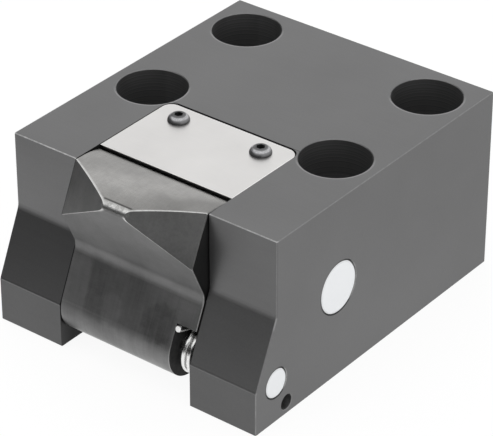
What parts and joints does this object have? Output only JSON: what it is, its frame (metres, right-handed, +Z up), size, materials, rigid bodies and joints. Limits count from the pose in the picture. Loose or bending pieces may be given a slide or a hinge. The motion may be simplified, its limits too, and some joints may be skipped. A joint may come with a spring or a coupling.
{
  "type": "pull-down clamp",
  "caption": "Pull-down side clamp: a block whose jaw swings forwards and down when a rear screw pushes an inner lever, with a cover plate, counterbored mounting holes and a return spring.",
  "frame": {"origin": "on the base plane, in the middle of the four mounting holes", "axes": "+X across the clamp towards the spring's end, +Y from the jaw towards the rear face, +Z up from the base"},
  "size_m": [0.08, 0.0983, 0.0516],
  "materials": {
    "blackened_steel": "matte black oxide on milled steel",
    "ground_steel": "ground tool steel, lightly oiled",
    "stainless_plate": "satin stainless sheet",
    "bright_steel": "ground bright steel",
    "spring_wire": "drawn bright wire",
    "black_screw": "black oxide fastener",
    "polished_ball": "polished bearing ball",
    "white_plastic": "moulded white plastic"
  },
  "bodies": {
    "block": {"clamp_body": "blackened_steel", "jaw_pin": "bright_steel", "jaw_pin_cap_left": "white_plastic", "jaw_pin_cap_right": "white_plastic", "return_spring": "spring_wire", "spring_pin": "bright_steel", "lever_pin": "bright_steel", "lever_pin_cap_left": "white_plastic", "lever_pin_cap_right": "white_plastic", "lever_spacer_left": "bright_steel", "lever_spacer_right": "bright_steel", "retaining_ring": "black_screw", "cover_plate": "stainless_plate", "cover_screw_left": "black_screw", "cover_screw_right": "black_screw"},
    "jaw": {"clamping_jaw": "ground_steel"},
    "lever": {"thrust_lever": "ground_steel", "lever_nose_pin": "bright_steel"},
    "thrust": {"thrust_pin": "bright_steel", "thrust_ball": "polished_ball"},
    "screw": {"clamping_screw": "black_screw"}
  },
  "joints": [
    {"name": "screw_feed", "type": "slide", "parent": "block", "child": "thrust", "axis": [0, -1, 0], "range_m": [0, 0.0029]},
    {"name": "screw_turn", "type": "hinge", "parent": "thrust", "child": "screw", "pos_m": [0, 0.026, 0.04], "axis": [0, -1, 0], "range_deg": [0, 591.8]},
    {"name": "lever_swing", "type": "hinge", "parent": "block", "child": "lever", "pos_m": [0, -0.0329, 0.0253], "axis": [1, 0, 0], "range_deg": [0, 11.7]},
    {"name": "jaw_swing", "type": "hinge", "parent": "block", "child": "jaw", "pos_m": [0, -0.057, 0.011], "axis": [1, 0, 0], "range_deg": [0, 5.05], "deforming": ["return_spring"]}
  ],
  "couplings": [
    {"joint": "screw_feed", "follows": "screw_turn", "m_per_rad": 0.00027853},
    {"joint": "lever_swing", "follows": "screw_turn", "ratio": 0.01965},
    {"joint": "jaw_swing", "follows": "screw_turn", "ratio": 0.0084488}
  ]
}
